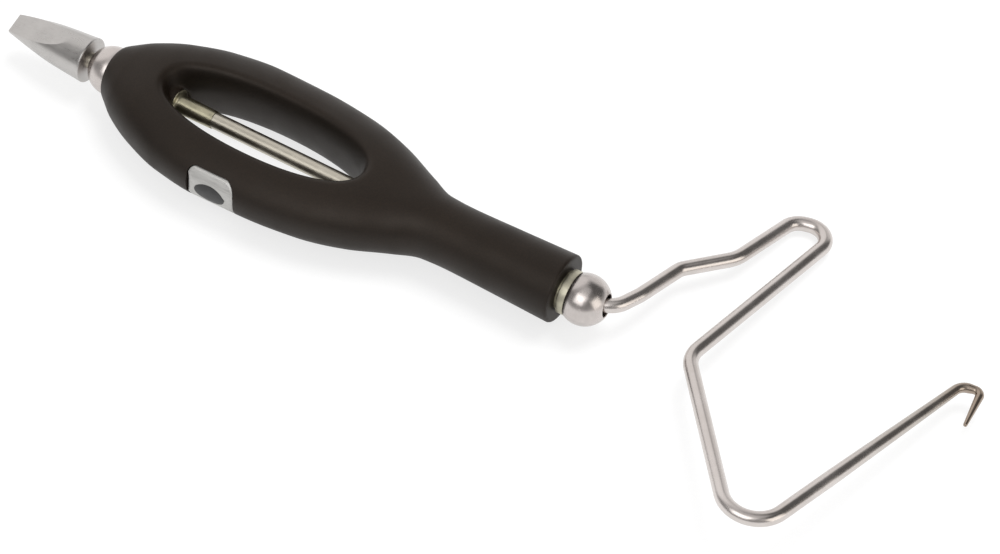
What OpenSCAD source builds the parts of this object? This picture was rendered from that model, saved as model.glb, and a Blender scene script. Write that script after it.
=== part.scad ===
// Rotary whip finisher: a die-cast handle with a finger window, a steel spindle that
// spins freely in two brass bushes, a ball collar at each end, a bent hook wire in
// front and a flat blade tip behind.
// +X runs forward along the spindle axis, +Z is up through the window.
// The origin is on the spindle axis at the middle of the window.

/* [Handle] */
// X position of the handle's tail end
tail_x = -22.1; // [-22.4:0.1:-21.8]
// X position of the neck's flat front end
neck_end_x = 42; // [41.6:0.1:42.1]
// Rounding of the neck's front edge
neck_edge_r = 0.3; // [0.3:0.1:0.9]
// Length of the finger window at mid height
window_len = 26.8; // [26.4:0.1:27]
// Width of the finger window at mid height
window_width = 8; // [7.6:0.1:8.6]
// How far the window's convex wall leans outward from mid height to its rim
rim_spread = 1.7; // [1.4:0.1:2]
// Bore for the bushes
bush_bore_d = 3.2; // [3:0.1:3.4]

/* [Spindle] */
// Diameter of the spindle rod
rod_d = 2.1; // [2:0.05:2.15]
// Diameter of the front ball collar
front_ball_d = 6.35; // [6.2:0.05:6.5]
// X position of the front ball's centre
front_ball_x = 44.8; // [44.75:0.05:44.9]
// Diameter of the rear ball collar
rear_ball_d = 6.2; // [6:0.05:6.3]
// X position of the rear ball's centre
rear_ball_x = -22.6; // [-22.7:0.1:-22.4]
// Diameter of the hole where the hook wire leaves the front ball
wire_mouth_d = 2.8; // [2.6:0.1:3]
// Upward tilt of that hole
wire_mouth_tilt = 5; // [4:1:6]
// Heading of that hole from the spindle axis, towards the hook's first bend
wire_mouth_heading = 8; // [7:1:9]

/* [Bushes] */
// Rim diameter of the rear bush
rear_flange_d = 3.6; // [3.4:0.1:3.8]
// Flange diameter of the front bush
front_flange_d = 4.9; // [4.6:0.1:5.2]
// Flange thickness of the front bush
front_flange_t = 0.2; // [0.15:0.05:0.25]
// Thickness of the thrust washer
washer_t = 1; // [0.8:0.05:1.1]
// Radial clearance of the rod in a bush
running_gap = 0.05; // [0.02:0.01:0.08]

/* [Blade tip] */
// Length of the blade tip
tip_len = 11.7; // [10:0.1:13]
// Diameter of the tip at its base
tip_base_d = 5.9; // [5.6:0.1:6]
// Thickness at the blade's edge
blade_t = 0.5; // [0.4:0.1:0.8]
// Roll of the blade about the spindle axis
blade_roll = 12; // [-20:1:20]

/* [Hook wire] */
// Diameter of the hook wire
wire_d = 1.8; // [1.6:0.05:1.9]
// Diameter where the hook's last bend starts
hook_d = 1.2; // [1:0.05:1.4]
// Diameter at the hook's blunt point
point_d = 0.5; // [0.4:0.05:0.7]
// Tilt of the hook's plane about the spindle axis
hook_tilt = -8; // [-9:0.5:9]

/* [Badge] */
// Length of the inlaid badge plate
badge_len = 6.4; // [5:0.1:7]
// Height of the inlaid badge plate
badge_h = 5.3; // [4:0.1:5.4]
// X position of the badge's centre
badge_x = -1.4; // [-3:0.1:1]
// Depth of the badge's recess
badge_depth = 1.4; // [1.2:0.1:1.5]

/* [Hidden] */

$fn = 64;
// Handle outline seen from above: position along X, half width
half_width = [[tail_x, 3.4], [-21.3, 4.05], [-19.1, 5.75], [-15.1, 7.75], [-10.1, 9.4], [-4.1, 10.15],
              [2.9, 10], [9.9, 9.25], [15.9, 7.65], [20.9, 5.55], [24.4, 4.15], [27.5, 3.98],
              [34, 4.12], [neck_end_x, 4.35]];
// Handle outline seen from the side: position along X, half thickness
half_thick = [[tail_x, 3.4], [-21.3, 3.75], [-19.1, 4.25], [-14.6, 4.65], [-8, 4.7], [8, 4.7],
              [14, 4.6], [20, 4.2], [24.4, 4.02], [27.5, 3.98], [34, 4.12], [neck_end_x, 4.35]];
// Squareness of the cross-section: 2 is an ellipse, more is fuller
squareness = [[tail_x, 2], [-15, 2.4], [12, 2.4], [24.4, 2], [neck_end_x, 2]];
window_squareness = 2.15;
skin_points = 44;
window_points = 56;
wall_steps = 8;
wire_points = 16;
bend_step = 13;
rim_lift = 0.15;
cut_z = 6;

ball_play = 0.12;
flat_gap = 0.12;
bush_fit = 0.01;
bush_wall_end = -19;
front_bush_len = 8;
badge_gap = 0.05;
rod_socket = 4;
tip_base_x = rear_ball_x - rear_ball_d / 2 - 0.12;
rear_flange_x = -12.75;
rear_flare_r = 0.58;
rear_sleeve_len = 5.2;
washer_x = neck_end_x + front_flange_t + flat_gap;

// Hook path in its own plane, measured from the front ball's centre, and the
// radius and wire diameter of each bend
hook_points = [[0, 0], [3.5, 0.8], [5, 4.4], [6.8, 10.8], [11.5, 16.2], [14.2, 25.7],
               [19.8, 27.3], [14.4, -1], [32.1, -22.8], [36.6, -7.4], [42.6, 13.1],
               [45, 13.7], [45.6, 8]];
hook_radii = [0, 3, 4.8, 2.4, 4.5, 2.5, 2.4, 3.7, 3.9, 0, 1.7, 0.8, 0];
hook_dias = [wire_d, wire_d, wire_d, wire_d, wire_d, wire_d, wire_d, wire_d, wire_d, wire_d,
             hook_d, hook_d - 0.15, point_d];

// Bent wire in the XY plane: each bend is an arc, and the straight stretches taper
hook_last = len(hook_points) - 1;
hook_ways = [for (i = [0:hook_last - 1]) hook_points[i + 1] - hook_points[i]];
hook_headings = [for (w = hook_ways) atan2(w[1], w[0])];
function short_turn(d) = d > 180 ? d - 360 : d < -180 ? d + 360 : d;
// Stations of one bend as [x, y, heading, diameter]
function bend_stations(i) =
    let (h = hook_headings[i - 1], turn = short_turn(hook_headings[i] - h), r = hook_radii[i],
         side = sign(turn), start = hook_points[i] - r * tan(abs(turn) / 2) * [cos(h), sin(h)],
         centre = start + side * r * [-sin(h), cos(h)], steps = r > 0 ? ceil(abs(turn) / bend_step) : 2)
    [for (k = [r > 0 ? 0 : 1:r > 0 ? steps : 1]) let (g = h + turn * k / steps)
        [centre[0] + side * r * sin(g), centre[1] - side * r * cos(g), g, hook_dias[i]]];
// Stations of the blunt point, a half ball
function point_stations() =
    let (p = hook_points[hook_last], h = hook_headings[hook_last - 1])
    [for (a = [0:22.5:67.5]) let (out = point_d / 2 * sin(a))
        [p[0] + out * cos(h), p[1] + out * sin(h), h, point_d * cos(a)]];
hook_stations = concat([[0, 0, hook_headings[0], hook_dias[0]]],
                       [for (i = [1:hook_last - 1]) each bend_stations(i)], point_stations());
function wire_ring(s) =
    [for (k = [0:wire_points - 1]) let (a = 360 * k / wire_points, r = s[3] / 2)
        [s[0] - r * cos(a) * sin(s[2]), s[1] + r * cos(a) * cos(s[2]), r * sin(a)]];

function sgn_pow(v, p) = sign(v) * pow(abs(v), p);
function step_slope(t, i) = (t[i + 1][1] - t[i][1]) / (t[i + 1][0] - t[i][0]);
// Slope of the smooth curve at a table point: zero at a peak, else the harmonic mean
function knot_slope(t, i) =
    i == 0 ? step_slope(t, 0)
    : i == len(t) - 1 ? step_slope(t, i - 1)
    : let (a = step_slope(t, i - 1), b = step_slope(t, i)) a * b <= 0 ? 0 : 2 * a * b / (a + b);
function knot_before(t, x, i = 0) =
    i >= len(t) - 2 || x < t[i + 1][0] ? i : knot_before(t, x, i + 1);
// Smooth curve through a table of [x, value]
function curve(t, x) =
    let (i = knot_before(t, x), h = t[i + 1][0] - t[i][0], s = (x - t[i][0]) / h)
    t[i][1] * (1 + 2 * s) * pow(1 - s, 2) + t[i + 1][1] * s * s * (3 - 2 * s)
    + h * s * (1 - s) * (knot_slope(t, i) * (1 - s) - knot_slope(t, i + 1) * s);
// Height of the handle's skin over a point in plan
function skin_z(x, y) =
    let (n = curve(squareness, x))
    curve(half_thick, x) * pow(max(1 - pow(abs(y) / curve(half_width, x), n), 0), 1 / n);

// Skin stations along X as [x, inset]: even steps, then the rounded neck edge
skin_stations = concat(
    [for (i = [0:2]) [tail_x + 0.55 * i, 0]],
    [for (i = [0:49]) let (x0 = tail_x + 1.8, x1 = neck_end_x - neck_edge_r)
        [x0 + (x1 - x0) * i / 49, 0]],
    [for (a = [18:18:90]) [neck_end_x - neck_edge_r * (1 - sin(a)), neck_edge_r * (1 - cos(a))]]);
function skin_ring(s) =
    let (x = s[0], n = curve(squareness, x), w = curve(half_width, x) - s[1],
         t = curve(half_thick, x) - s[1])
    [for (i = [0:skin_points - 1]) let (a = 360 * i / skin_points)
        [x, w * sgn_pow(cos(a), 2 / n), t * sgn_pow(sin(a), 2 / n)]];

// Closed solid through rings of equal point counts, which run right-handed about the way
// from the first ring to the last
module loft(rings) {
    n = len(rings[0]);
    m = len(rings);
    sides = [for (j = [0:m - 2], i = [0:n - 1]) let (k = (i + 1) % n)
        each [[j * n + i, (j + 1) * n + k, j * n + k], [j * n + i, (j + 1) * n + i, (j + 1) * n + k]]];
    ends = [[for (i = [0:n - 1]) i], [for (i = [n - 1:-1:0]) (m - 1) * n + i]];
    polyhedron(points = [for (r = rings) each r], faces = concat(sides, ends));
}

module handle_skin() {
    loft([for (s = skin_stations) skin_ring(s)]);
}

// One column of the window's wall: plan point, outward normal and rim height
function window_column(u) =
    let (a = window_len / 2, b = window_width / 2, m = window_squareness,
         x = a * sgn_pow(cos(u), 2 / m), y = b * sgn_pow(sin(u), 2 / m),
         gx = sgn_pow(x / a, m - 1) / a, gy = sgn_pow(y / b, m - 1) / b, g = norm([gx, gy]),
         reach = 0.65 * rim_spread)
    [[x, y], [gx, gy] / g, skin_z(x + reach * gx / g, y + reach * gy / g) + rim_lift];
window_columns = [for (i = [0:window_points - 1]) window_column(360 * (i + 0.5) / window_points)];
// Levels of the window's wall, a half ellipse from the bottom rim to the top rim
window_levels = [for (i = [-wall_steps:wall_steps]) 90 * i / wall_steps];
function window_ring(l) =
    [for (c = window_columns) let (off = rim_spread * (1 - cos(l)))
        [c[0][0] + off * c[1][0], c[0][1] + off * c[1][1], c[2] * sin(l)]];
function window_end(z) =
    [for (c = window_columns)
        [c[0][0] + rim_spread * c[1][0], c[0][1] + rim_spread * c[1][1], z]];

module window_cut() {
    loft(concat([window_end(-cut_z)], [for (l = window_levels) window_ring(l)], [window_end(cut_z)]));
}

module rod_along_x(d, x0, x1) {
    translate([x0, 0, 0])
        rotate([0, 90, 0])
            cylinder(d = d, h = x1 - x0);
}

// Solid of revolution about the spindle axis from a profile of [x, radius]
module turned(profile) {
    rotate([0, 90, 0])
        rotate_extrude()
            polygon([for (p = profile) [p[1], p[0]]]);
}

// Badge outline standing in the XZ plane: two opposite corners are rounder than the others
module badge_prism(grow) {
    w = badge_len / 2 + grow;
    h = badge_h / 2 + grow;
    big = 1.5 + grow;
    small = 0.7 + grow;
    corners = [[1, 1, big], [-1, 1, small], [-1, -1, big], [1, -1, small]];
    translate([badge_x, 0, 0])
        rotate([90, 0, 0])
            linear_extrude(height = 12) {
                difference() {
                    square([2 * w, 2 * h], center = true);
                    for (c = corners)
                        translate([c[0] * (w - c[2] / 2), c[1] * (h - c[2] / 2)])
                            square(c[2], center = true);
                }
                for (c = corners)
                    translate([c[0] * (w - c[2]), c[1] * (h - c[2])])
                        circle(r = c[2]);
            }
}

// Boss round the rear bore, on which the rear bush's rim sits
module bush_boss() {
    translate([-15.5, 0, 0])
        rotate([0, 90, 0])
            cylinder(d1 = rear_flange_d + 1.8, d2 = rear_flange_d + 0.1, h = rear_flange_x + 15.5);
}

// The recess floor is a plane parallel to XZ, badge_depth below the bar's outer side
module badge_floor() {
    floor_y = curve(half_width, badge_x) - badge_depth;
    translate([-30, -floor_y, -10])
        cube([60, 30, 20]);
}

module handle_body() {
    color("#2b2826")
        difference() {
            union() {
                difference() {
                    handle_skin();
                    window_cut();
                }
                bush_boss();
            }
            rod_along_x(bush_bore_d, tail_x, neck_end_x + 1);
            rod_along_x(rear_flange_d + 0.1, rear_flange_x, 0);
            translate([rear_ball_x, 0, 0])
                sphere(d = rear_ball_d + 2 * ball_play);
            difference() {
                badge_prism(badge_gap);
                badge_floor();
            }
        }
}

module badge_plate() {
    color("#d9d6d2")
        intersection() {
            handle_skin();
            difference() {
                badge_prism(0);
                badge_floor();
            }
        }
}

// Bush with a flared mouth: a thin rim, a concave flare and a sleeve that thins along the rod
module rear_bush() {
    r_in = rod_d / 2 + running_gap;
    r_out = bush_bore_d / 2 - bush_fit;
    rim = rear_flange_d / 2;
    flare_x = rear_flange_x + 0.12;
    flare = [for (a = [0:15:90])
        [flare_x + rear_flare_r * (1 - cos(a)), rim - rear_flare_r * sin(a)]];
    color("#a8935f")
        turned(concat([[bush_wall_end, r_in], [bush_wall_end, r_out], [rear_flange_x, r_out],
                       [rear_flange_x, rim]],
                      flare, [[flare_x + rear_sleeve_len, r_in + 0.03],
                              [flare_x + rear_sleeve_len, r_in]]));
}

module front_bush() {
    r_in = rod_d / 2 + running_gap;
    r_out = bush_bore_d / 2 - bush_fit;
    rim = front_flange_d / 2;
    x1 = neck_end_x + front_flange_t;
    color("#a8935f")
        turned([[neck_end_x - front_bush_len, r_in], [neck_end_x - front_bush_len, r_out],
                [neck_end_x, r_out], [neck_end_x, rim], [x1 - 0.05, rim], [x1, rim - 0.05],
                [x1, r_in]]);
}

module thrust_washer() {
    rim = front_flange_d / 2 + 0.35;
    color("#a8935f")
        turned([[washer_x, rod_d / 2 + 0.02], [washer_x, rim - 0.08], [washer_x + 0.08, rim],
                [washer_x + washer_t, rim], [washer_x + washer_t, rod_d / 2 + 0.02]]);
}

module spindle_rod() {
    x0 = tip_base_x - rod_socket;
    x1 = front_ball_x - 0.6;
    r = rod_d / 2;
    color("#b9b3aa")
        turned([[x0, 0], [x0, r - 0.15], [x0 + 0.15, r], [x1, r], [x1, 0]]);
}

// Moves a shape made along +X at the origin to the hook's plane and the ball's centre
module at_hook() {
    translate([front_ball_x, 0, 0])
        rotate([hook_tilt, 0, 0])
            children();
}

module front_ball() {
    flat_x = washer_x + washer_t;
    color("#bdb8b2")
        difference() {
            translate([front_ball_x, 0, 0])
                sphere(d = front_ball_d);
            rod_along_x(front_ball_d + 1, flat_x - front_ball_d, flat_x);
            rod_along_x(rod_d + 0.04, flat_x - 1, front_ball_x - 0.6);
            at_hook()
                rotate([0, 0, hook_headings[0]])
                    rod_along_x(wire_d + 0.08, 0, 2.1);
            translate([front_ball_x, 0, 0])
                rotate([0, -wire_mouth_tilt, wire_mouth_heading])
                    rod_along_x(wire_mouth_d, 1.8, front_ball_d);
        }
}

module rear_ball() {
    color("#bdb8b2")
        difference() {
            translate([rear_ball_x, 0, 0])
                sphere(d = rear_ball_d);
            rod_along_x(rod_d + 0.04, rear_ball_x - rear_ball_d, rear_ball_x + rear_ball_d);
        }
}

module hook_wire() {
    color("#b0aaa2")
        at_hook()
            loft([for (s = hook_stations) wire_ring(s)]);
}

module blade_tip() {
    r = tip_base_d / 2;
    round_r = 0.15;
    // Body outline behind its base: distance from the base, radius
    body = [[5.2, 0.85 * r], [8.1, 0.69 * r], [tip_len, 0.45 * r]];
    base = [for (a = [0:30:90]) [tip_base_x - round_r * (1 - sin(a)), r - round_r * (1 - cos(a))]];
    flat_start = 3.1;
    flat_angle = atan((0.91 * r - blade_t / 2) / (tip_len - flat_start));
    color("#b5afa8")
        difference() {
            turned(concat([[tip_base_x, 0]], [for (i = [len(base) - 1:-1:0]) base[i]],
                          [for (p = body) [tip_base_x - p[0], p[1]]], [[tip_base_x - tip_len, 0]]));
            rotate([blade_roll, 0, 0])
                for (side = [0, 1])
                    mirror([0, 0, side])
                        translate([tip_base_x - tip_len, 0, blade_t / 2])
                            rotate([0, -flat_angle, 0])
                                translate([-5, -10, 0])
                                    cube([20, 20, 10]);
            rod_along_x(rod_d + 0.04, tip_base_x - rod_socket - 0.2, tip_base_x + 1);
        }
}

handle_body();
rear_bush();
front_bush();
badge_plate();
spindle_rod();
rear_ball();
front_ball();
thrust_washer();
hook_wire();
blade_tip();
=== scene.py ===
"""Rotary whip finisher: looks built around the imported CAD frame.

Shapes are worked out in millimetres in the row frame (+X forward along the spindle, +Z up
through the finger window) and scaled to metres when a mesh is made.
"""

import math

import bmesh
import bpy
import numpy as np
from mathutils import Matrix, Vector


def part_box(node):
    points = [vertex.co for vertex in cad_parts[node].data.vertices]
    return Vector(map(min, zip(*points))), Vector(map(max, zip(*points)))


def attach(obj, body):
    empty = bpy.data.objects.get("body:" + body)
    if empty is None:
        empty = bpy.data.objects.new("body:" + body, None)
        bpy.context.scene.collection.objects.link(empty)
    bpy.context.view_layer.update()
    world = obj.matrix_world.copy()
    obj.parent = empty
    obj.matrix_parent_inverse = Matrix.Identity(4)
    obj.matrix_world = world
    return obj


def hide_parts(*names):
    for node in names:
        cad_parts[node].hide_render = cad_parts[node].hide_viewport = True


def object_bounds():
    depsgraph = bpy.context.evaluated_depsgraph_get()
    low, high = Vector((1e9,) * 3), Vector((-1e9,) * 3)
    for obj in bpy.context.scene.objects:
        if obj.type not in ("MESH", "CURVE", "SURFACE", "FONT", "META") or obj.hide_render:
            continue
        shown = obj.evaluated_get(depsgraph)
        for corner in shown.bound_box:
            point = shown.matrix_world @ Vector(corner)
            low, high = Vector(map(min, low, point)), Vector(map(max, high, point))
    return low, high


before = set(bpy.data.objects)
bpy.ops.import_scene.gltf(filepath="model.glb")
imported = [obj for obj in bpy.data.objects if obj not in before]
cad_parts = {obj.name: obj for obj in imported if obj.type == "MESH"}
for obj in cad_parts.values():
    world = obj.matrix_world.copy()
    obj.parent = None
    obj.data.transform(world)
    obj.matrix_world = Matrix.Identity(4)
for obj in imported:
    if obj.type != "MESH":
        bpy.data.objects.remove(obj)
cad_low, cad_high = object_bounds()

MM = 0.001


def node_span(node):
    """Lowest and highest corner of a CAD node, in millimetres."""
    low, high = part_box(node)
    return low / MM, high / MM


handle_low, handle_high = node_span("handle_body")
ball_low = node_span("front_ball")[0]
tip_low, tip_high = node_span("blade_tip")
rod_low, rod_high = node_span("spindle_rod")
washer_low, washer_high = node_span("thrust_washer")
rear_bush_low, rear_bush_high = node_span("rear_bush")
front_bush_low, front_bush_high = node_span("front_bush")
badge_low, badge_high = node_span("badge_plate")

TAIL_X = handle_low.x
NECK_END_X = handle_high.x
ROD_R = rod_high.z
BALL_X = 44.8
BALL_R = 3.175
REAR_BALL_X = -22.6
REAR_BALL_R = 3.1
TABLE_Z = min(cad_low.z / MM, handle_low.z) - 0.05

# Handle: outline seen from above, outline seen from the side, squareness of the section
HALF_WIDTH = [(TAIL_X, 3.4), (-21.3, 4.05), (-19.1, 5.75), (-15.1, 7.75), (-10.1, 9.4), (-4.1, 10.15),
              (2.9, 10), (9.9, 9.25), (15.9, 7.65), (20.9, 5.55), (24.4, 4.15), (27.5, 3.98),
              (34, 4.12), (NECK_END_X, 4.35)]
HALF_THICK = [(TAIL_X, 3.4), (-21.3, 3.75), (-19.1, 4.25), (-14.6, 4.65), (-8, 4.7), (8, 4.7),
              (14, 4.6), (20, 4.2), (24.4, 4.02), (27.5, 3.98), (34, 4.12), (NECK_END_X, 4.35)]
SQUARENESS = [(TAIL_X, 2), (-15, 2.4), (12, 2.4), (24.4, 2), (NECK_END_X, 2)]
WINDOW_HALF_LEN = 13.4
WINDOW_HALF_WIDTH = 4
WINDOW_SQUARENESS = 2.15
RIM_SPREAD = 1.7
RIM_LIFT = 0.15
CREST_BLEND = 0.7
NECK_EDGE_R = 0.3
TAIL_EDGE_R = 0.35
BUSH_BORE_R = 1.6
BOSS_ROOT_X = -15.5
BOSS_ROOT_R = 2.7
BOSS_TOP_R = 1.85
REAR_SEAT_X = -12.75
REAR_SEAT_R = 1.85
REAR_RIM_T = 0.12
REAR_FLARE_R = 0.58
SLEEVE_END_T = 0.03
SOCKET_R = 3.22
HANDLE_CELL = 0.24

# Hook wire: bend points in the hook's plane from the ball's centre, bend radii, diameters
HOOK_TILT = math.radians(-8)
HOOK_BENDS = [
    ((0, 0), 0, 1.8), ((3.5, 0.8), 3, 1.8), ((5, 4.4), 4.8, 1.8), ((6.8, 10.8), 2.4, 1.8),
    ((11.5, 16.2), 4.5, 1.8), ((14.2, 25.7), 2.5, 1.8), ((19.8, 27.3), 2.4, 1.8),
    ((14.4, -1), 3.7, 1.8), ((32.1, -22.8), 3.9, 1.8), ((36.6, -7.4), 0, 1.8),
    ((42.6, 13.1), 1.7, 1.2), ((45, 13.7), 0.8, 1.05), ((45.6, 8), 0, 0.5)]
WIRE_SIDES = 28
MOUTH_R = 1.4
MOUTH_HEADING = math.radians(8)
MOUTH_TILT = math.radians(5)
AT_HOOK = Matrix.Translation((BALL_X, 0, 0)) @ Matrix.Rotation(HOOK_TILT, 4, "X")


# ---------------------------------------------------------------- mesh helpers


def make_mesh(name, points, faces):
    """Mesh object from points in millimetres, smooth except over edges sharper than 35 degrees."""
    mesh = bpy.data.meshes.new(name)
    mesh.from_pydata([tuple(float(c) * MM for c in p) for p in points], [], faces)
    mesh.validate()
    obj = bpy.data.objects.new(name, mesh)
    bpy.context.scene.collection.objects.link(obj)
    smooth(obj)
    return obj


def smooth(obj, angle=35):
    obj.data.polygons.foreach_set("use_smooth", [True] * len(obj.data.polygons))
    obj.data.set_sharp_from_angle(angle=math.radians(angle))
    obj.data.update()


def add_piece(obj, body, material, nodes=()):
    """Gives a piece its material, its body and the CAD nodes it stands for."""
    obj.data.materials.clear()
    obj.data.materials.append(material)
    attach(obj, body)
    if nodes:
        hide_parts(*nodes)
    return obj


def ring_faces(rings, sides, closed=False):
    """Quads between successive rings of points."""
    last = rings if closed else rings - 1
    return [(j * sides + i, j * sides + (i + 1) % sides,
             (j + 1) % rings * sides + (i + 1) % sides, (j + 1) % rings * sides + i)
            for j in range(last) for i in range(sides)]


def lathe(name, profile, sides=96, place=Matrix.Identity(4)):
    """Turned piece from a profile of (x, radius) about the X axis. A radius of 0 closes an end;
    a profile that starts and ends off the axis is closed into a ring."""
    mesh = bmesh.new()
    rows = []
    for x, r in profile:
        if r == 0:
            rows.append([mesh.verts.new((x, 0, 0))])
            continue
        angles = (2 * math.pi * i / sides for i in range(sides))
        rows.append([mesh.verts.new((x, r * math.cos(a), r * math.sin(a))) for a in angles])
    pairs = list(zip(rows, rows[1:]))
    if len(rows[0]) > 1:
        pairs.append((rows[-1], rows[0]))
    for a, b in pairs:
        for i in range(sides):
            k = (i + 1) % sides
            corners = [a[i % len(a)], a[k % len(a)], b[k % len(b)], b[i % len(b)]]
            mesh.faces.new(list(dict.fromkeys(corners)))
    bmesh.ops.recalc_face_normals(mesh, faces=mesh.faces)
    mesh.transform(Matrix.Scale(MM, 4) @ place)
    return finish_bmesh(name, mesh)


def finish_bmesh(name, mesh):
    data = bpy.data.meshes.new(name)
    mesh.to_mesh(data)
    mesh.free()
    obj = bpy.data.objects.new(name, data)
    bpy.context.scene.collection.objects.link(obj)
    smooth(obj)
    return obj


def arc(cx, cr, radius, start, end, steps):
    """Points of an arc in a (x, radius) profile, angles in degrees from +x."""
    angles = (math.radians(start + (end - start) * i / steps) for i in range(steps + 1))
    return [(cx + radius * math.cos(a), cr + radius * math.sin(a)) for a in angles]


def cut_by(obj, cutter):
    """Takes cutter's solid out of obj and removes the cutter."""
    change = obj.modifiers.new("cut", "BOOLEAN")
    change.operation = "DIFFERENCE"
    change.solver = "EXACT"
    change.object = cutter
    apply_modifiers(obj)
    bpy.data.objects.remove(cutter)


def apply_modifiers(obj):
    depsgraph = bpy.context.evaluated_depsgraph_get()
    data = bpy.data.meshes.new_from_object(obj.evaluated_get(depsgraph))
    obj.modifiers.clear()
    obj.data = data
    smooth(obj)


# ---------------------------------------------------------------- handle


def curve_through(table):
    """Smooth curve through (x, value) pairs, with slopes as the harmonic mean of its steps."""
    xs, ys = (np.array(v, float) for v in zip(*table))
    steps = np.diff(xs)
    rises = np.diff(ys) / steps
    before, after = rises[:-1], rises[1:]
    same = before * after > 0
    mean = np.where(same, 2 * before * after / np.where(same, before + after, 1), 0)
    slopes = np.concatenate([rises[:1], mean, rises[-1:]])

    def value(x):
        i = np.clip(np.searchsorted(xs, x, side="right") - 1, 0, len(steps) - 1)
        s = np.clip((x - xs[i]) / steps[i], 0, 1)
        bend = s * (1 - s) * (slopes[i] * (1 - s) - slopes[i + 1] * s)
        return (ys[i] * (1 + 2 * s) * (1 - s) ** 2 + ys[i + 1] * s * s * (3 - 2 * s)
                + steps[i] * bend)

    return value


half_width = curve_through(HALF_WIDTH)
half_thick = curve_through(HALF_THICK)
squareness = curve_through(SQUARENESS)


def skin_height(x, y):
    """Height of the handle's skin over a point in plan."""
    n = squareness(x)
    return half_thick(x) * np.maximum(1 - np.abs(y / half_width(x)) ** n, 0) ** (1 / n)


def skin_distance(x, y, z):
    """About how far a point is outside the handle's skin."""
    w, t, n = half_width(x), half_thick(x), squareness(x)
    small = 0.02
    w_slope = (half_width(x + small) - half_width(x - small)) / (2 * small)
    t_slope = (half_thick(x + small) - half_thick(x - small)) / (2 * small)
    a, b = np.abs(y) / w, np.abs(z) / t
    level = np.maximum(a ** n + b ** n, 1e-9) ** (1 / n)
    gain = level ** (1 - n)
    gx = -gain * (a ** n * w_slope / w + b ** n * t_slope / t)
    gy = gain * a ** (n - 1) / w
    gz = gain * b ** (n - 1) / t
    return (level - 1) / np.sqrt(gx * gx + gy * gy + gz * gz)


def window_outline(count=360):
    """Half of the window's outline, y at or above 0: points, outward normals and rim heights."""
    u = np.linspace(0, math.pi, count)
    m = WINDOW_SQUARENESS
    cos, sin = np.cos(u), np.sin(u)
    x = WINDOW_HALF_LEN * np.sign(cos) * np.abs(cos) ** (2 / m)
    y = WINDOW_HALF_WIDTH * np.maximum(sin, 0) ** (2 / m)
    gx = np.sign(x) * np.abs(x / WINDOW_HALF_LEN) ** (m - 1) / WINDOW_HALF_LEN
    gy = (y / WINDOW_HALF_WIDTH) ** (m - 1) / WINDOW_HALF_WIDTH
    length = np.hypot(gx, gy)
    nx, ny = gx / length, gy / length
    reach = 0.65 * RIM_SPREAD
    rim = skin_height(x + reach * nx, y + reach * ny) + RIM_LIFT
    return x, y, nx, ny, rim


OUTLINE = window_outline()


def wall_distance(x, y, z):
    """About how far a point is inside the window's opening. In section the wall is half an
    ellipse, RIM_SPREAD deep and as high as the rim."""
    ox, oy, nx, ny, rim = OUTLINE
    side = np.empty_like(x)
    top = np.empty_like(x)
    for part in np.array_split(np.arange(len(x)), max(1, len(x) // 20000)):
        dx = x[part, None] - ox
        dy = np.abs(y[part, None]) - oy
        k = np.argmin(dx * dx + dy * dy, axis=1)
        row = np.arange(len(part))
        side[part] = dx[row, k] * nx[k] + dy[row, k] * ny[k]
        top[part] = rim[k]
    inward = side - RIM_SPREAD
    across, up = np.minimum(inward, 0) / RIM_SPREAD, z / top
    level = np.maximum(np.hypot(across, up), 1e-6)
    slope = np.hypot(across / RIM_SPREAD, up / top) / level
    return (level - 1) / np.maximum(slope, 0.05)


def smooth_max(a, b, blend):
    return np.maximum(a, b) + np.maximum(blend - np.abs(a - b), 0) ** 2 / (4 * blend)


def round_max(a, b, radius):
    """Where two faces meet, an edge rounded to a radius."""
    return (np.hypot(np.maximum(a + radius, 0), np.maximum(b + radius, 0))
            + np.minimum(np.maximum(a, b) + radius, 0) - radius)


def handle_distance(p):
    """Below 0 in the handle's metal, about the distance outside it elsewhere."""
    x, y, z = p[:, 0], p[:, 1], p[:, 2]
    solid = smooth_max(skin_distance(x, y, z), wall_distance(x, y, z), CREST_BLEND)
    solid = round_max(solid, x - NECK_END_X, NECK_EDGE_R)
    solid = round_max(solid, TAIL_X - x, TAIL_EDGE_R)
    off_axis = np.hypot(y, z)
    share = np.clip((x - BOSS_ROOT_X) / (REAR_SEAT_X - BOSS_ROOT_X), 0, 1)
    boss = off_axis - (BOSS_ROOT_R + (BOSS_TOP_R - BOSS_ROOT_R) * share)
    boss = round_max(np.maximum(boss, BOSS_ROOT_X - x), x - REAR_SEAT_X, 0.12)
    solid = -smooth_max(-solid, -boss, 0.5)
    seat = np.minimum(np.minimum(REAR_SEAT_R - off_axis, x - REAR_SEAT_X), -x)
    solid = smooth_max(solid, seat, 0.1)
    return smooth_max(solid, BUSH_BORE_R - off_axis, 0.1)


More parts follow.
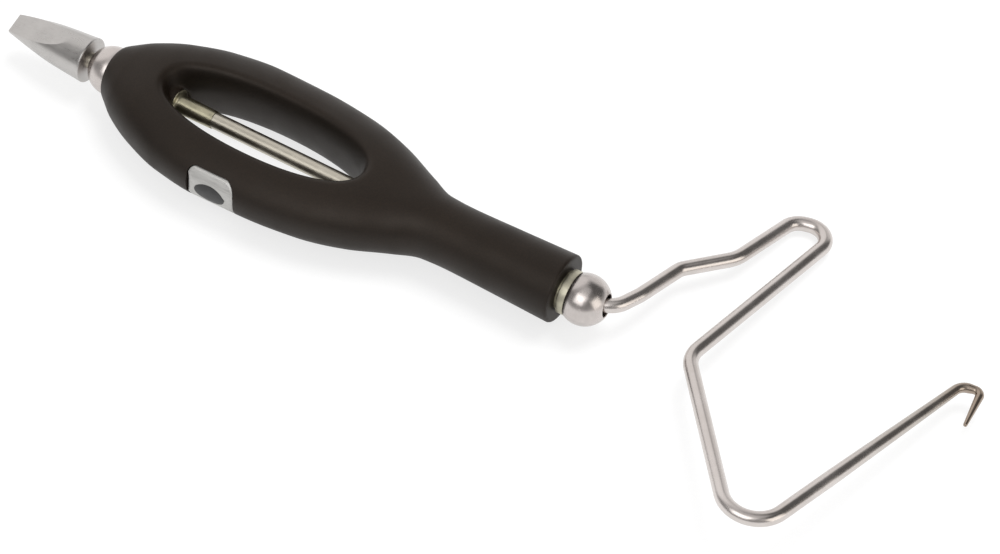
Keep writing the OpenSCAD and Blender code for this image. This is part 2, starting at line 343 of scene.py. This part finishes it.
def surface_nets(low, high, cell, distance):
    """Quads on the zero surface of a distance function, one point in each cell it crosses."""
    counts = [int(math.ceil((h - l) / cell)) + 1 for l, h in zip(low, high)]
    axes = [l + cell * np.arange(n) for l, n in zip(low, counts)]
    grid = np.stack(np.meshgrid(*axes, indexing="ij"), -1)
    values = distance(grid.reshape(-1, 3)).reshape(counts)
    inside = values < 0
    cells = tuple(n - 1 for n in counts)
    total = np.zeros(cells + (3,))
    crossings = np.zeros(cells)
    quads = []
    for axis in range(3):
        ahead = [slice(None)] * 3
        behind = [slice(None)] * 3
        ahead[axis], behind[axis] = slice(1, None), slice(None, -1)
        a, b = values[tuple(behind)], values[tuple(ahead)]
        crossed = inside[tuple(behind)] != inside[tuple(ahead)]
        where = np.argwhere(crossed)
        share = (a / np.where(crossed, a - b, 1))[crossed]
        point = grid[tuple(where.T)]
        point[:, axis] += share * cell
        others = [k for k in range(3) if k != axis]
        corners = []
        for du, dv in ((0, 0), (1, 0), (1, 1), (0, 1)):
            at = where.copy()
            at[:, others[0]] -= du
            at[:, others[1]] -= dv
            corners.append(at)
            np.add.at(total, tuple(at.T), point)
            np.add.at(crossings, tuple(at.T), 1)
        flip = inside[tuple(behind)][crossed] ^ (axis == 1)
        ids = [np.ravel_multi_index(tuple(c.T), cells) for c in corners]
        quads.append(np.where(flip[:, None], np.stack(ids, 1), np.stack(ids[::-1], 1)))
    used = np.flatnonzero(crossings.ravel())
    number = np.full(crossings.size, -1)
    number[used] = np.arange(len(used))
    points = total.reshape(-1, 3)[used] / crossings.ravel()[used][:, None]
    return points, number[np.concatenate(quads)]


def settle(points, distance, rounds=3, step=0.01):
    """Moves points onto the zero surface along the distance function's slope."""
    for _ in range(rounds):
        value = distance(points)
        slope = np.stack([(distance(points + step * e) - distance(points - step * e)) / (2 * step)
                          for e in np.eye(3)], 1)
        size = np.maximum((slope ** 2).sum(1), 0.2)
        points = points - np.clip(value / size, -0.1, 0.1)[:, None] * slope
    return points


def build_handle():
    margin = 0.6
    low = [c - margin for c in handle_low]
    high = [c + margin for c in handle_high]
    points, quads = surface_nets(low, high, HANDLE_CELL, handle_distance)
    points = settle(points, handle_distance)
    handle = make_mesh("handle_shell", points, quads.tolist())
    socket = lathe("socket", [(-SOCKET_R, 0)] + arc(0, 0, SOCKET_R, 177, 3, 58) + [(SOCKET_R, 0)],
                   place=Matrix.Translation((REAR_BALL_X, 0, 0)))
    cut_by(handle, socket)
    cut_by(handle, badge_solid("badge_recess", BADGE_GAP, top=1.5, bottom=-0.62, bevel=0))
    return handle


# ---------------------------------------------------------------- badge


BADGE_GAP = 0.14
BADGE_BIG_R = 1.5
BADGE_SMALL_R = 0.7
BADGE_HALF_Z = 2.7


def badge_outline(grow, per_corner=14):
    """Badge outline from its centre, in (x, z): two opposite corners are rounder."""
    half_x = (badge_high.x - badge_low.x) / 2 + grow
    half_z = BADGE_HALF_Z + grow
    corners = [(1, 1, BADGE_BIG_R), (-1, 1, BADGE_SMALL_R), (-1, -1, BADGE_BIG_R),
               (1, -1, BADGE_SMALL_R)]
    points = []
    for quarter, (sx, sz, r) in enumerate(corners):
        r += grow
        cx, cz = sx * (half_x - r), sz * (half_z - r)
        for i in range(per_corner + 1):
            a = math.radians(90 * quarter + 90 * i / per_corner)
            points.append((cx + r * math.cos(a), cz + r * math.sin(a)))
    return points


def on_bar(x, z, lift):
    """Point on the near bar's outer side, lifted outward."""
    n = float(squareness(x))
    w, t = float(half_width(x)), float(half_thick(x))
    z = max(-0.99 * t, min(0.99 * t, z))
    y = -w * (1 - abs(z / t) ** n) ** (1 / n)
    return (x, y - lift, z)


def patch_on_bar(name, outline, centre, top, bottom, bevel, rings=14):
    """Closed plate with an outline, following the bar's outer side: rings from the middle out."""
    levels = [(k / rings, top) for k in range(1, rings)]
    if bevel:
        levels += [(1 - 2 * bevel, top), (1 - 0.6 * bevel, top - 0.3 * bevel), (1, top - bevel)]
    else:
        levels.append((1, top))
    levels.append((1, bottom))
    levels += [(k / rings, bottom) for k in range(rings - 1, 0, -1)]
    sides = len(outline)
    points = [on_bar(centre[0] + s * x, centre[1] + s * z, lift)
              for s, lift in levels for x, z in outline]
    faces = ring_faces(len(levels), sides)
    points += [on_bar(*centre, top), on_bar(*centre, bottom)]
    first, last = len(points) - 2, len(points) - 1
    end = (len(levels) - 1) * sides
    faces += [(first, (i + 1) % sides, i) for i in range(sides)]
    faces += [(last, end + i, end + (i + 1) % sides) for i in range(sides)]
    obj = make_mesh(name, points, faces)
    mesh = bmesh.new()
    mesh.from_mesh(obj.data)
    bmesh.ops.recalc_face_normals(mesh, faces=mesh.faces)
    mesh.to_mesh(obj.data)
    mesh.free()
    smooth(obj)
    return obj


def badge_solid(name, grow, top, bottom, bevel):
    centre = ((badge_low.x + badge_high.x) / 2, 0)
    return patch_on_bar(name, badge_outline(grow), centre, top, bottom, bevel)


def ring_outline(half_x, half_z, sides=48):
    """Ellipse from its centre."""
    return [(half_x * math.cos(a), half_z * math.sin(a))
            for a in (2 * math.pi * i / sides for i in range(sides))]


def build_badge():
    plate = badge_solid("badge_face", 0, top=-0.02, bottom=-0.55, bevel=0.08)
    centre = ((badge_low.x + badge_high.x) / 2, 0.2)
    mark = patch_on_bar("badge_mark", ring_outline(2.1, 1.35), centre, top=-0.008,
                        bottom=-0.3, bevel=0, rings=8)
    return plate, mark


# ---------------------------------------------------------------- hook wire


def hook_stations(bend_step=6):
    """Stations along the bent wire as (x, y, heading, diameter) in the hook's plane."""
    spots = [np.array(b[0], float) for b in HOOK_BENDS]
    ways = np.diff(spots, axis=0)
    headings = np.unwrap(np.arctan2(ways[:, 1], ways[:, 0]))
    stations = [(*spots[0], headings[0], HOOK_BENDS[0][2])]
    for i in range(1, len(spots) - 1):
        radius, dia = HOOK_BENDS[i][1:]
        h, turn = headings[i - 1], headings[i] - headings[i - 1]
        if radius == 0:
            stations.append((*spots[i], h + turn / 2, dia))
            continue
        side = math.copysign(1, turn)
        start = spots[i] - radius * math.tan(abs(turn) / 2) * np.array([math.cos(h), math.sin(h)])
        centre = start + side * radius * np.array([-math.sin(h), math.cos(h)])
        steps = math.ceil(math.degrees(abs(turn)) / bend_step)
        for k in range(steps + 1):
            g = h + turn * k / steps
            stations.append((centre[0] + side * radius * math.sin(g),
                             centre[1] - side * radius * math.cos(g), g, dia))
    end, h, dia = spots[-1], headings[-1], HOOK_BENDS[-1][2]
    for a in np.radians([0, 20, 40, 60, 75, 86]):
        out = dia / 2 * math.sin(a)
        stations.append((end[0] + out * math.cos(h), end[1] + out * math.sin(h), h,
                         dia * math.cos(a)))
    return fill_straights(stations)


def fill_straights(stations, longest=1.5):
    """Adds stations so that no straight stretch is longer than a few wire radii."""
    filled = [stations[0]]
    for a, b in zip(stations, stations[1:]):
        gap = math.hypot(b[0] - a[0], b[1] - a[1])
        parts = max(1, math.ceil(gap / longest))
        filled += [tuple(np.array(a) + (np.array(b) - np.array(a)) * k / parts)
                   for k in range(1, parts + 1)]
    return filled


def build_hook():
    stations = hook_stations()
    points = []
    for x, y, heading, dia in stations:
        for i in range(WIRE_SIDES):
            a = 2 * math.pi * i / WIRE_SIDES
            across, up = dia / 2 * math.cos(a), dia / 2 * math.sin(a)
            points.append((x - across * math.sin(heading), y + across * math.cos(heading), up))
    faces = ring_faces(len(stations), WIRE_SIDES)
    last = (len(stations) - 1) * WIRE_SIDES
    faces.append(tuple(range(WIRE_SIDES - 1, -1, -1)))
    faces.append(tuple(last + i for i in range(WIRE_SIDES)))
    wire = make_mesh("hook_wire_smooth", [AT_HOOK @ Vector(p) for p in points], faces)
    run = np.cumsum([0] + [math.hypot(b[0] - a[0], b[1] - a[1])
                           for a, b in zip(stations, stations[1:])])
    add_run_attribute(wire, np.repeat(run / run[-1], WIRE_SIDES))
    return wire


def add_run_attribute(obj, values):
    """Share of the way along the wire, for its material."""
    attribute = obj.data.attributes.new("run", "FLOAT", "POINT")
    attribute.data.foreach_set("value", np.asarray(values, np.float32))


# ---------------------------------------------------------------- turned pieces


def build_front_ball():
    """Ball turned about the axis of its mouth, with a flat where the washer bears."""
    depth = 1.2
    lip = 0.09
    mouth = math.degrees(math.asin((MOUTH_R + lip) / BALL_R))
    edge_x = BALL_R * math.cos(math.radians(mouth))
    profile = [(-BALL_R, 0)] + arc(0, 0, BALL_R, 178, mouth + 1, 90)
    profile += [(edge_x - 0.02, MOUTH_R + 0.045), (edge_x - 0.07, MOUTH_R + 0.01)]
    profile += [(edge_x - 0.12, MOUTH_R), (edge_x - depth, MOUTH_R), (edge_x - depth, 0)]
    ball = lathe("front_ball_turned", profile, sides=128,
                 place=Matrix.Translation((BALL_X, 0, 0)) @ Matrix.Rotation(MOUTH_HEADING, 4, "Z")
                 @ Matrix.Rotation(-MOUTH_TILT, 4, "Y"))
    mesh = bmesh.new()
    mesh.from_mesh(ball.data)
    geometry = mesh.verts[:] + mesh.edges[:] + mesh.faces[:]
    cut = bmesh.ops.bisect_plane(mesh, geom=geometry, plane_co=(ball_low.x * MM, 0, 0),
                                 plane_no=(-1, 0, 0), clear_outer=True)
    rim = [e for e in cut["geom_cut"] if isinstance(e, bmesh.types.BMEdge)]
    bmesh.ops.holes_fill(mesh, edges=rim)
    mesh.to_mesh(ball.data)
    mesh.free()
    smooth(ball)
    return ball


def build_rear_ball():
    bore = ROD_R + 0.02
    start = math.degrees(math.asin(bore / REAR_BALL_R))
    profile = arc(0, 0, REAR_BALL_R, 180 - start, start, 80)
    return lathe("rear_ball_turned", profile, sides=128,
                 place=Matrix.Translation((REAR_BALL_X, 0, 0)))


def build_rod():
    edge = 0.15
    profile = [(rod_low.x, 0), (rod_low.x, ROD_R - edge), (rod_low.x + edge, ROD_R)]
    steps = 60
    length = rod_high.x - rod_low.x - edge
    profile += [(rod_low.x + edge + length * i / steps, ROD_R) for i in range(1, steps + 1)]
    return lathe("spindle_rod_ground", profile + [(rod_high.x, 0)], sides=64)


def build_rear_bush():
    """Flared brass bush: a thin rim, a concave flare and a sleeve that thins along the rod."""
    r_in = ROD_R + 0.05
    rim = rear_bush_high.z
    flare_x = REAR_SEAT_X + REAR_RIM_T
    edge = 0.04
    profile = [(rear_bush_low.x, r_in), (rear_bush_low.x, BUSH_BORE_R - 0.01),
               (REAR_SEAT_X, BUSH_BORE_R - 0.01), (REAR_SEAT_X, rim)]
    profile += arc(flare_x - edge, rim - edge, edge, 90, 0, 4)
    profile += arc(flare_x + REAR_FLARE_R, rim, REAR_FLARE_R, 190, 262, 12)
    profile += [(rear_bush_high.x - 0.02, r_in + SLEEVE_END_T),
                (rear_bush_high.x, r_in + SLEEVE_END_T / 2), (rear_bush_high.x, r_in)]
    return lathe("rear_bush_turned", profile)


def build_front_bush():
    r_in = ROD_R + 0.05
    rim = front_bush_high.z
    end = front_bush_high.x
    edge = 0.05
    profile = [(front_bush_low.x, r_in), (front_bush_low.x, BUSH_BORE_R - 0.01),
               (NECK_END_X, BUSH_BORE_R - 0.01), (NECK_END_X, rim)]
    profile += arc(end - edge, rim - edge, edge, 90, 0, 5) + [(end, r_in)]
    return lathe("front_bush_turned", profile, sides=128)


def build_washer():
    rim = washer_high.z
    edge = 0.07
    profile = [(washer_low.x, ROD_R + 0.02)]
    profile += arc(washer_low.x + edge, rim - edge, edge, 180, 90, 5)
    profile += arc(washer_high.x - edge, rim - edge, edge, 90, 0, 5)
    return lathe("thrust_washer_turned", profile + [(washer_high.x, ROD_R + 0.02)], sides=128)


TIP_ROUND_R = 0.16
BLADE_HALF_T = 0.25
BLADE_ROLL = math.radians(12)
FLAT_START = 3.1


def build_tip():
    """Turned tip with two flats ground to a blade, the outer edge of its base rounded."""
    base_x, length = tip_high.x, tip_high.x - tip_low.x
    r = tip_high.z
    outline = curve_through([(0, r), (5.2, 0.85 * r), (8.1, 0.69 * r), (length, 0.45 * r)])
    steps = 40
    along = [TIP_ROUND_R + (length - TIP_ROUND_R) * i / steps for i in range(steps + 1)]
    profile = [(base_x, 0), (base_x, r - TIP_ROUND_R)]
    profile += [(base_x - TIP_ROUND_R * (1 - math.cos(a)), r - TIP_ROUND_R * (1 - math.sin(a)))
                for a in (math.pi / 2 * i / 8 for i in range(1, 9))]
    profile += [(base_x - d, float(outline(d))) for d in along[1:]]
    profile.append((base_x - length, 0))
    tip = lathe("blade_tip_ground", profile, sides=128)
    slope = math.atan((0.91 * r - BLADE_HALF_T) / (length - FLAT_START))
    mesh = bmesh.new()
    mesh.from_mesh(tip.data)
    for side in (1, -1):
        normal = Matrix.Rotation(BLADE_ROLL, 3, "X") @ Vector(
            (-math.sin(slope), 0, side * math.cos(slope)))
        point = Vector((tip_low.x, 0, 0)) + Matrix.Rotation(BLADE_ROLL, 3, "X") @ Vector(
            (0, 0, side * BLADE_HALF_T))
        geometry = mesh.verts[:] + mesh.edges[:] + mesh.faces[:]
        cut = bmesh.ops.bisect_plane(mesh, geom=geometry, plane_co=point * MM, plane_no=normal,
                                     clear_outer=True)
        rim = [e for e in cut["geom_cut"] if isinstance(e, bmesh.types.BMEdge)]
        bmesh.ops.holes_fill(mesh, edges=rim)
    bmesh.ops.recalc_face_normals(mesh, faces=mesh.faces)
    mesh.to_mesh(tip.data)
    mesh.free()
    smooth(tip, 20)
    return tip


# ---------------------------------------------------------------- materials


class Nodes:
    """Short way to build one material's node tree."""

    def __init__(self, name):
        self.material = bpy.data.materials.new(name)
        self.material.use_nodes = True
        self.tree = self.material.node_tree
        self.shader = self.tree.nodes["Principled BSDF"]
        self.where = self.tree.nodes.new("ShaderNodeTexCoord").outputs["Object"]

    def link(self, a, b):
        self.tree.links.new(a, b)

    def stretched(self, scale):
        node = self.tree.nodes.new("ShaderNodeMapping")
        node.inputs["Scale"].default_value = scale
        self.link(self.where, node.inputs["Vector"])
        return node.outputs["Vector"]

    def noise(self, scale, detail=3, rough=0.5, vector=None):
        node = self.tree.nodes.new("ShaderNodeTexNoise")
        node.inputs["Scale"].default_value = scale
        node.inputs["Detail"].default_value = detail
        node.inputs["Roughness"].default_value = rough
        self.link(vector or self.where, node.inputs["Vector"])
        return node.outputs["Fac"]

    def ramp(self, value, stops):
        node = self.tree.nodes.new("ShaderNodeValToRGB")
        self.link(value, node.inputs["Fac"])
        elements = node.color_ramp.elements
        while len(elements) < len(stops):
            elements.new(0.5)
        for element, (place, colour) in zip(elements, stops):
            element.position = place
            element.color = (*colour, 1)
        return node.outputs["Color"]

    def spread(self, value, low, high):
        """Maps a noise's middle range to low..high."""
        node = self.tree.nodes.new("ShaderNodeMapRange")
        node.inputs["From Min"].default_value = 0.3
        node.inputs["From Max"].default_value = 0.7
        node.inputs["To Min"].default_value = low
        node.inputs["To Max"].default_value = high
        self.link(value, node.inputs["Value"])
        return node.outputs["Result"]

    def mix(self, share, a, b, blend="MIX"):
        node = self.tree.nodes.new("ShaderNodeMix")
        node.data_type = "RGBA"
        node.blend_type = blend
        self.link(share, node.inputs["Factor"])
        for value, socket in ((a, node.inputs["A"]), (b, node.inputs["B"])):
            if isinstance(value, tuple):
                socket.default_value = (*value, 1)
            else:
                self.link(value, socket)
        return node.outputs["Result"]

    def math(self, operation, a, b):
        node = self.tree.nodes.new("ShaderNodeMath")
        node.operation = operation
        for value, socket in ((a, node.inputs[0]), (b, node.inputs[1])):
            if isinstance(value, (int, float)):
                socket.default_value = value
            else:
                self.link(value, socket)
        return node.outputs[0]

    def bump(self, height, strength, distance_mm):
        node = self.tree.nodes.new("ShaderNodeBump")
        node.inputs["Strength"].default_value = strength
        node.inputs["Distance"].default_value = distance_mm * MM
        self.link(height, node.inputs["Height"])
        self.link(node.outputs["Normal"], self.shader.inputs["Normal"])

    def set(self, name, value):
        self.shader.inputs[name].default_value = value

    def feed(self, name, value):
        self.link(value, self.shader.inputs[name])


def powder_coat():
    """Satin black powder coat: fine orange peel, faint warm and cool drift, soft rubbed areas."""
    n = Nodes("powder_coat")
    drift = n.noise(120, 3)
    fleck = n.noise(5200, 2, 0.6)
    colour = n.ramp(drift, [(0.3, (0.0062, 0.0038, 0.0021)), (0.7, (0.0086, 0.0053, 0.0031))])
    speck = n.ramp(fleck, [(0.35, (0.8, 0.8, 0.8)), (0.72, (1.5, 1.46, 1.42))])
    full = n.spread(drift, 1, 1)
    n.feed("Base Color", n.mix(full, colour, speck, "MULTIPLY"))
    n.feed("Roughness", n.spread(n.noise(260, 4), 0.44, 0.54))
    n.set("Specular IOR Level", 0.35)
    n.set("Specular Tint", (1, 0.9, 0.82, 1))
    peel = n.math("ADD", n.math("MULTIPLY", n.noise(2600, 2), 0.7), n.math("MULTIPLY", fleck, 0.3))
    n.bump(peel, 0.3, 0.02)
    return n.material


def steel(name, tint, rough, grain, grain_depth=0.004, wear=0.35, dents=0.0):
    """Worked steel: grain is the noise scale along X, Y and Z, so its lines run one way, and
    dents is the depth of its shallow waves in millimetres."""
    n = Nodes(name)
    lines = n.noise(1, 4, 0.65, n.stretched(grain))
    smudge = n.noise(170, 4, 0.6)
    dark = tuple(0.86 * c for c in tint)
    light = tuple(min(1, 1.06 * c) for c in tint)
    colour = n.ramp(smudge, [(0.32, dark), (0.62, light)])
    streak = n.ramp(lines, [(0.3, (0.9, 0.895, 0.89)), (0.7, (1, 1, 1))])
    full = n.spread(smudge, 1, 1)
    n.feed("Base Color", n.mix(full, colour, streak, "MULTIPLY"))
    n.set("Metallic", 1)
    varied = n.math("ADD", n.spread(smudge, 0.85 * rough, rough * (1 + wear)),
                    n.spread(lines, -0.03, 0.05))
    n.feed("Roughness", varied)
    waves = n.math("MULTIPLY", n.noise(620, 3, 0.62), dents / grain_depth)
    n.bump(n.math("ADD", lines, waves), 0.5, grain_depth)
    return n.material


def wire_steel():
    """Drawn spring wire: fine noise in its bump, browned where it was heated for the end hook."""
    n = Nodes("wire_steel")
    lines = n.noise(1500, 3, 0.6)
    smudge = n.noise(240, 4, 0.6)
    run = n.tree.nodes.new("ShaderNodeAttribute")
    run.attribute_name = "run"
    heat = n.ramp(run.outputs["Fac"], [(0.78, (0.66, 0.615, 0.59)), (0.9, (0.50, 0.46, 0.42)),
                                       (0.95, (0.40, 0.33, 0.27))])
    patch = n.ramp(smudge, [(0.3, (0.86, 0.85, 0.84)), (0.65, (1, 1, 1))])
    full = n.spread(smudge, 1, 1)
    n.feed("Base Color", n.mix(full, heat, patch, "MULTIPLY"))
    n.set("Metallic", 1)
    n.feed("Roughness", n.spread(smudge, 0.2, 0.3))
    n.bump(lines, 0.3, 0.004)
    return n.material


def brass(name, tint, rough):
    n = Nodes(name)
    tarnish = n.noise(420, 4, 0.6)
    lines = n.noise(1, 3, 0.6, n.stretched((9000, 500, 500)))
    dark = tuple(0.6 * c for c in tint)
    n.feed("Base Color", n.ramp(tarnish, [(0.34, dark), (0.66, tint)]))
    n.set("Metallic", 1)
    n.feed("Roughness", n.spread(tarnish, rough, rough + 0.14))
    n.bump(lines, 0.4, 0.005)
    return n.material


def badge_metal():
    """Fine brushed light plate."""
    n = Nodes("badge_metal")
    lines = n.noise(1, 3, 0.6, n.stretched((700, 9000, 14000)))
    n.feed("Base Color", n.ramp(lines, [(0.3, (0.44, 0.435, 0.42)), (0.7, (0.58, 0.57, 0.55))]))
    n.set("Metallic", 0.6)
    n.feed("Roughness", n.spread(lines, 0.36, 0.5))
    n.bump(lines, 0.3, 0.004)
    return n.material


def badge_enamel():
    n = Nodes("badge_enamel")
    n.feed("Base Color", n.ramp(n.noise(900, 2), [(0.3, (0.008, 0.008, 0.008)),
                                                  (0.7, (0.02, 0.019, 0.019))]))
    n.feed("Roughness", n.spread(n.noise(1500, 2), 0.3, 0.42))
    return n.material


def floor_sheet():
    """White acrylic sheet lit from below, so that shadows on it stay faint."""
    n = Nodes("floor_sheet")
    grey = n.ramp(n.noise(6, 3), [(0.3, (0.29, 0.29, 0.29)), (0.7, (0.32, 0.32, 0.32))])
    n.feed("Base Color", grey)
    n.set("Roughness", 0.9)
    n.set("Specular IOR Level", 0.05)
    n.set("Emission Color", (1, 1, 1, 1))
    n.set("Emission Strength", 0.74)
    return n.material


# ---------------------------------------------------------------- stage


def direction(azimuth, elevation):
    """Unit vector; azimuth 0 looks from -Y and grows towards +X."""
    a, e = math.radians(azimuth), math.radians(elevation)
    return Vector((math.sin(a) * math.cos(e), -math.cos(a) * math.cos(e), math.sin(e)))


def build_camera():
    data = bpy.data.cameras.new("camera")
    data.sensor_width = 36
    data.lens = 119.25
    data.clip_start, data.clip_end = 0.02, 20
    camera = bpy.data.objects.new("camera", data)
    bpy.context.scene.collection.objects.link(camera)
    camera.location = Vector((156.36, -202.27, 310.07)) * MM
    target = Vector((32.77, 0.68, -4.7)) * MM
    camera.rotation_mode = "QUATERNION"
    camera.rotation_quaternion = (target - camera.location).to_track_quat("-Z", "Y")
    bpy.context.scene.camera = camera


def softbox(name, azimuth, elevation, size, radiance, colour=(1, 1, 1), distance=0.8):
    """Square light with a face of a given brightness, aimed at the middle of the tool."""
    aim = Vector((26, 0, 0)) * MM
    data = bpy.data.lights.new(name, "AREA")
    data.shape = "SQUARE"
    data.size = size
    data.energy = radiance * math.pi * size * size
    data.color = colour
    light = bpy.data.objects.new(name, data)
    bpy.context.scene.collection.objects.link(light)
    light.location = aim + direction(azimuth, elevation) * distance
    light.rotation_mode = "QUATERNION"
    light.rotation_quaternion = (aim - light.location).to_track_quat("-Z", "Y")
    return light


def build_lights():
    """A high back light that gives the shadows, and two front lights that only show as glints."""
    softbox("top_light", 161, 68, 0.42, 7.2).visible_glossy = False
    softbox("front_glint", -5, 46, 0.6, 1.5).visible_diffuse = False
    softbox("side_glint", 84, 20, 0.54, 1.35, (1, 0.96, 0.9)).visible_diffuse = False


class World:
    """Short way to build the surround's node tree from a few smooth regions of direction."""

    def __init__(self):
        world = bpy.data.worlds.new("studio")
        bpy.context.scene.world = world
        world.use_nodes = True
        self.tree = world.node_tree
        self.way = self.tree.nodes.new("ShaderNodeTexCoord").outputs["Generated"]
        split = self.tree.nodes.new("ShaderNodeSeparateXYZ")
        self.tree.links.new(self.way, split.inputs[0])
        self.height = split.outputs["Z"]

    def toward(self, azimuth, elevation=0):
        """Cosine of the angle from a direction."""
        node = self.tree.nodes.new("ShaderNodeVectorMath")
        node.operation = "DOT_PRODUCT"
        node.inputs[1].default_value = direction(azimuth, elevation)
        self.tree.links.new(self.way, node.inputs[0])
        return node.outputs["Value"]

    def grade(self, value, low, high, to_low=0.0, to_high=1.0):
        node = self.tree.nodes.new("ShaderNodeMapRange")
        node.interpolation_type = "SMOOTHSTEP"
        for name, number in (("From Min", low), ("From Max", high), ("To Min", to_low),
                             ("To Max", to_high)):
            node.inputs[name].default_value = number
        self.tree.links.new(value, node.inputs["Value"])
        return node.outputs["Result"]

    def join(self, operation, a, b):
        node = self.tree.nodes.new("ShaderNodeMath")
        node.operation = operation
        for value, socket in ((a, node.inputs[0]), (b, node.inputs[1])):
            if isinstance(value, (int, float)):
                socket.default_value = value
            else:
                self.tree.links.new(value, socket)
        return node.outputs[0]

    def background(self, colour, strength):
        node = self.tree.nodes.new("ShaderNodeBackground")
        node.inputs["Color"].default_value = (*colour, 1)
        if isinstance(strength, (int, float)):
            node.inputs["Strength"].default_value = strength
        else:
            self.tree.links.new(strength, node.inputs["Strength"])
        return node.outputs["Background"]

    def choose(self, share, a, b):
        node = self.tree.nodes.new("ShaderNodeMixShader")
        self.tree.links.new(share, node.inputs["Fac"])
        self.tree.links.new(a, node.inputs[1])
        self.tree.links.new(b, node.inputs[2])
        return node.outputs["Shader"]


def build_world():
    """What the tool reflects: a light patch on the left and one over the front, a faint canopy,
    a light horizon that is brightest at the back, and a dim room that is darkest behind."""
    w = World()
    left = w.join("MULTIPLY", w.grade(w.toward(-122, 30), 0.66, 0.9), 1.05)
    front = w.join("MULTIPLY", w.grade(w.toward(4, 62), 0.84, 0.96), 0.95)
    top = w.join("MULTIPLY", w.grade(w.height, 0.84, 0.97), 0.65)
    canopy = w.join("MULTIPLY", w.grade(w.toward(-90), 0.14, 0.3), w.grade(w.height, 0.55, 0.75))
    horizon = w.grade(w.height, 0.04, 0.3, 0.62, 0)
    back = w.join("MULTIPLY", w.grade(w.toward(-176, 6), 0.8, 0.94), 0.9)
    room = w.grade(w.toward(140, 36), 0.55, 0.85)
    dim = w.join("SUBTRACT", 0.3, w.join("MULTIPLY", room, 0.18))
    level = w.join("MULTIPLY", canopy, 0.5)
    for part in (left, front, top, horizon, back, dim):
        level = w.join("MAXIMUM", level, part)
    surround = w.background((1, 0.985, 0.98), level)
    rays = w.tree.nodes.new("ShaderNodeLightPath").outputs
    lit = w.choose(rays["Is Diffuse Ray"], surround, w.background((1, 1, 1), 0.62))
    seen = w.choose(rays["Is Camera Ray"], lit, w.background((1, 1, 1), 1.0))
    w.tree.links.new(seen, w.tree.nodes["World Output"].inputs["Surface"])


def build_floor():
    half = 3000
    z = TABLE_Z
    floor = make_mesh("floor", [(-half, -half, z), (half, -half, z), (half, half, z), (-half, half, z)],
                      [(0, 1, 2, 3)])
    floor.data.materials.append(floor_sheet())


def build_pieces():
    add_piece(build_handle(), "handle", powder_coat(), ["handle_body"])
    plate, mark = build_badge()
    add_piece(plate, "handle", badge_metal(), ["badge_plate"])
    add_piece(mark, "handle", badge_enamel())
    bush = brass("bush_brass", (0.62, 0.58, 0.42), 0.3)
    add_piece(build_rear_bush(), "handle", bush, ["rear_bush"])
    add_piece(build_front_bush(), "handle", bush, ["front_bush"])
    washer = brass("washer_brass", (0.6, 0.57, 0.45), 0.34)
    add_piece(build_washer(), "spindle", washer, ["thrust_washer"])
    rod = steel("rod_steel", (0.66, 0.62, 0.53), 0.32, (700, 260, 260), grain_depth=0.001)
    add_piece(build_rod(), "spindle", rod, ["spindle_rod"])
    ball = steel("ball_steel", (0.62, 0.575, 0.553), 0.22, (900, 620, 620), wear=0.6, dents=0.03)
    add_piece(build_rear_ball(), "spindle", ball, ["rear_ball"])
    add_piece(build_front_ball(), "spindle", ball, ["front_ball"])
    tip = steel("tip_steel", (0.54, 0.525, 0.51), 0.28, (700, 3600, 3600))
    add_piece(build_tip(), "spindle", tip, ["blade_tip"])
    add_piece(build_hook(), "spindle", wire_steel(), ["hook_wire"])


build_camera()
build_lights()
build_world()
build_floor()
build_pieces()
bpy.context.scene.view_settings.view_transform = "Standard"
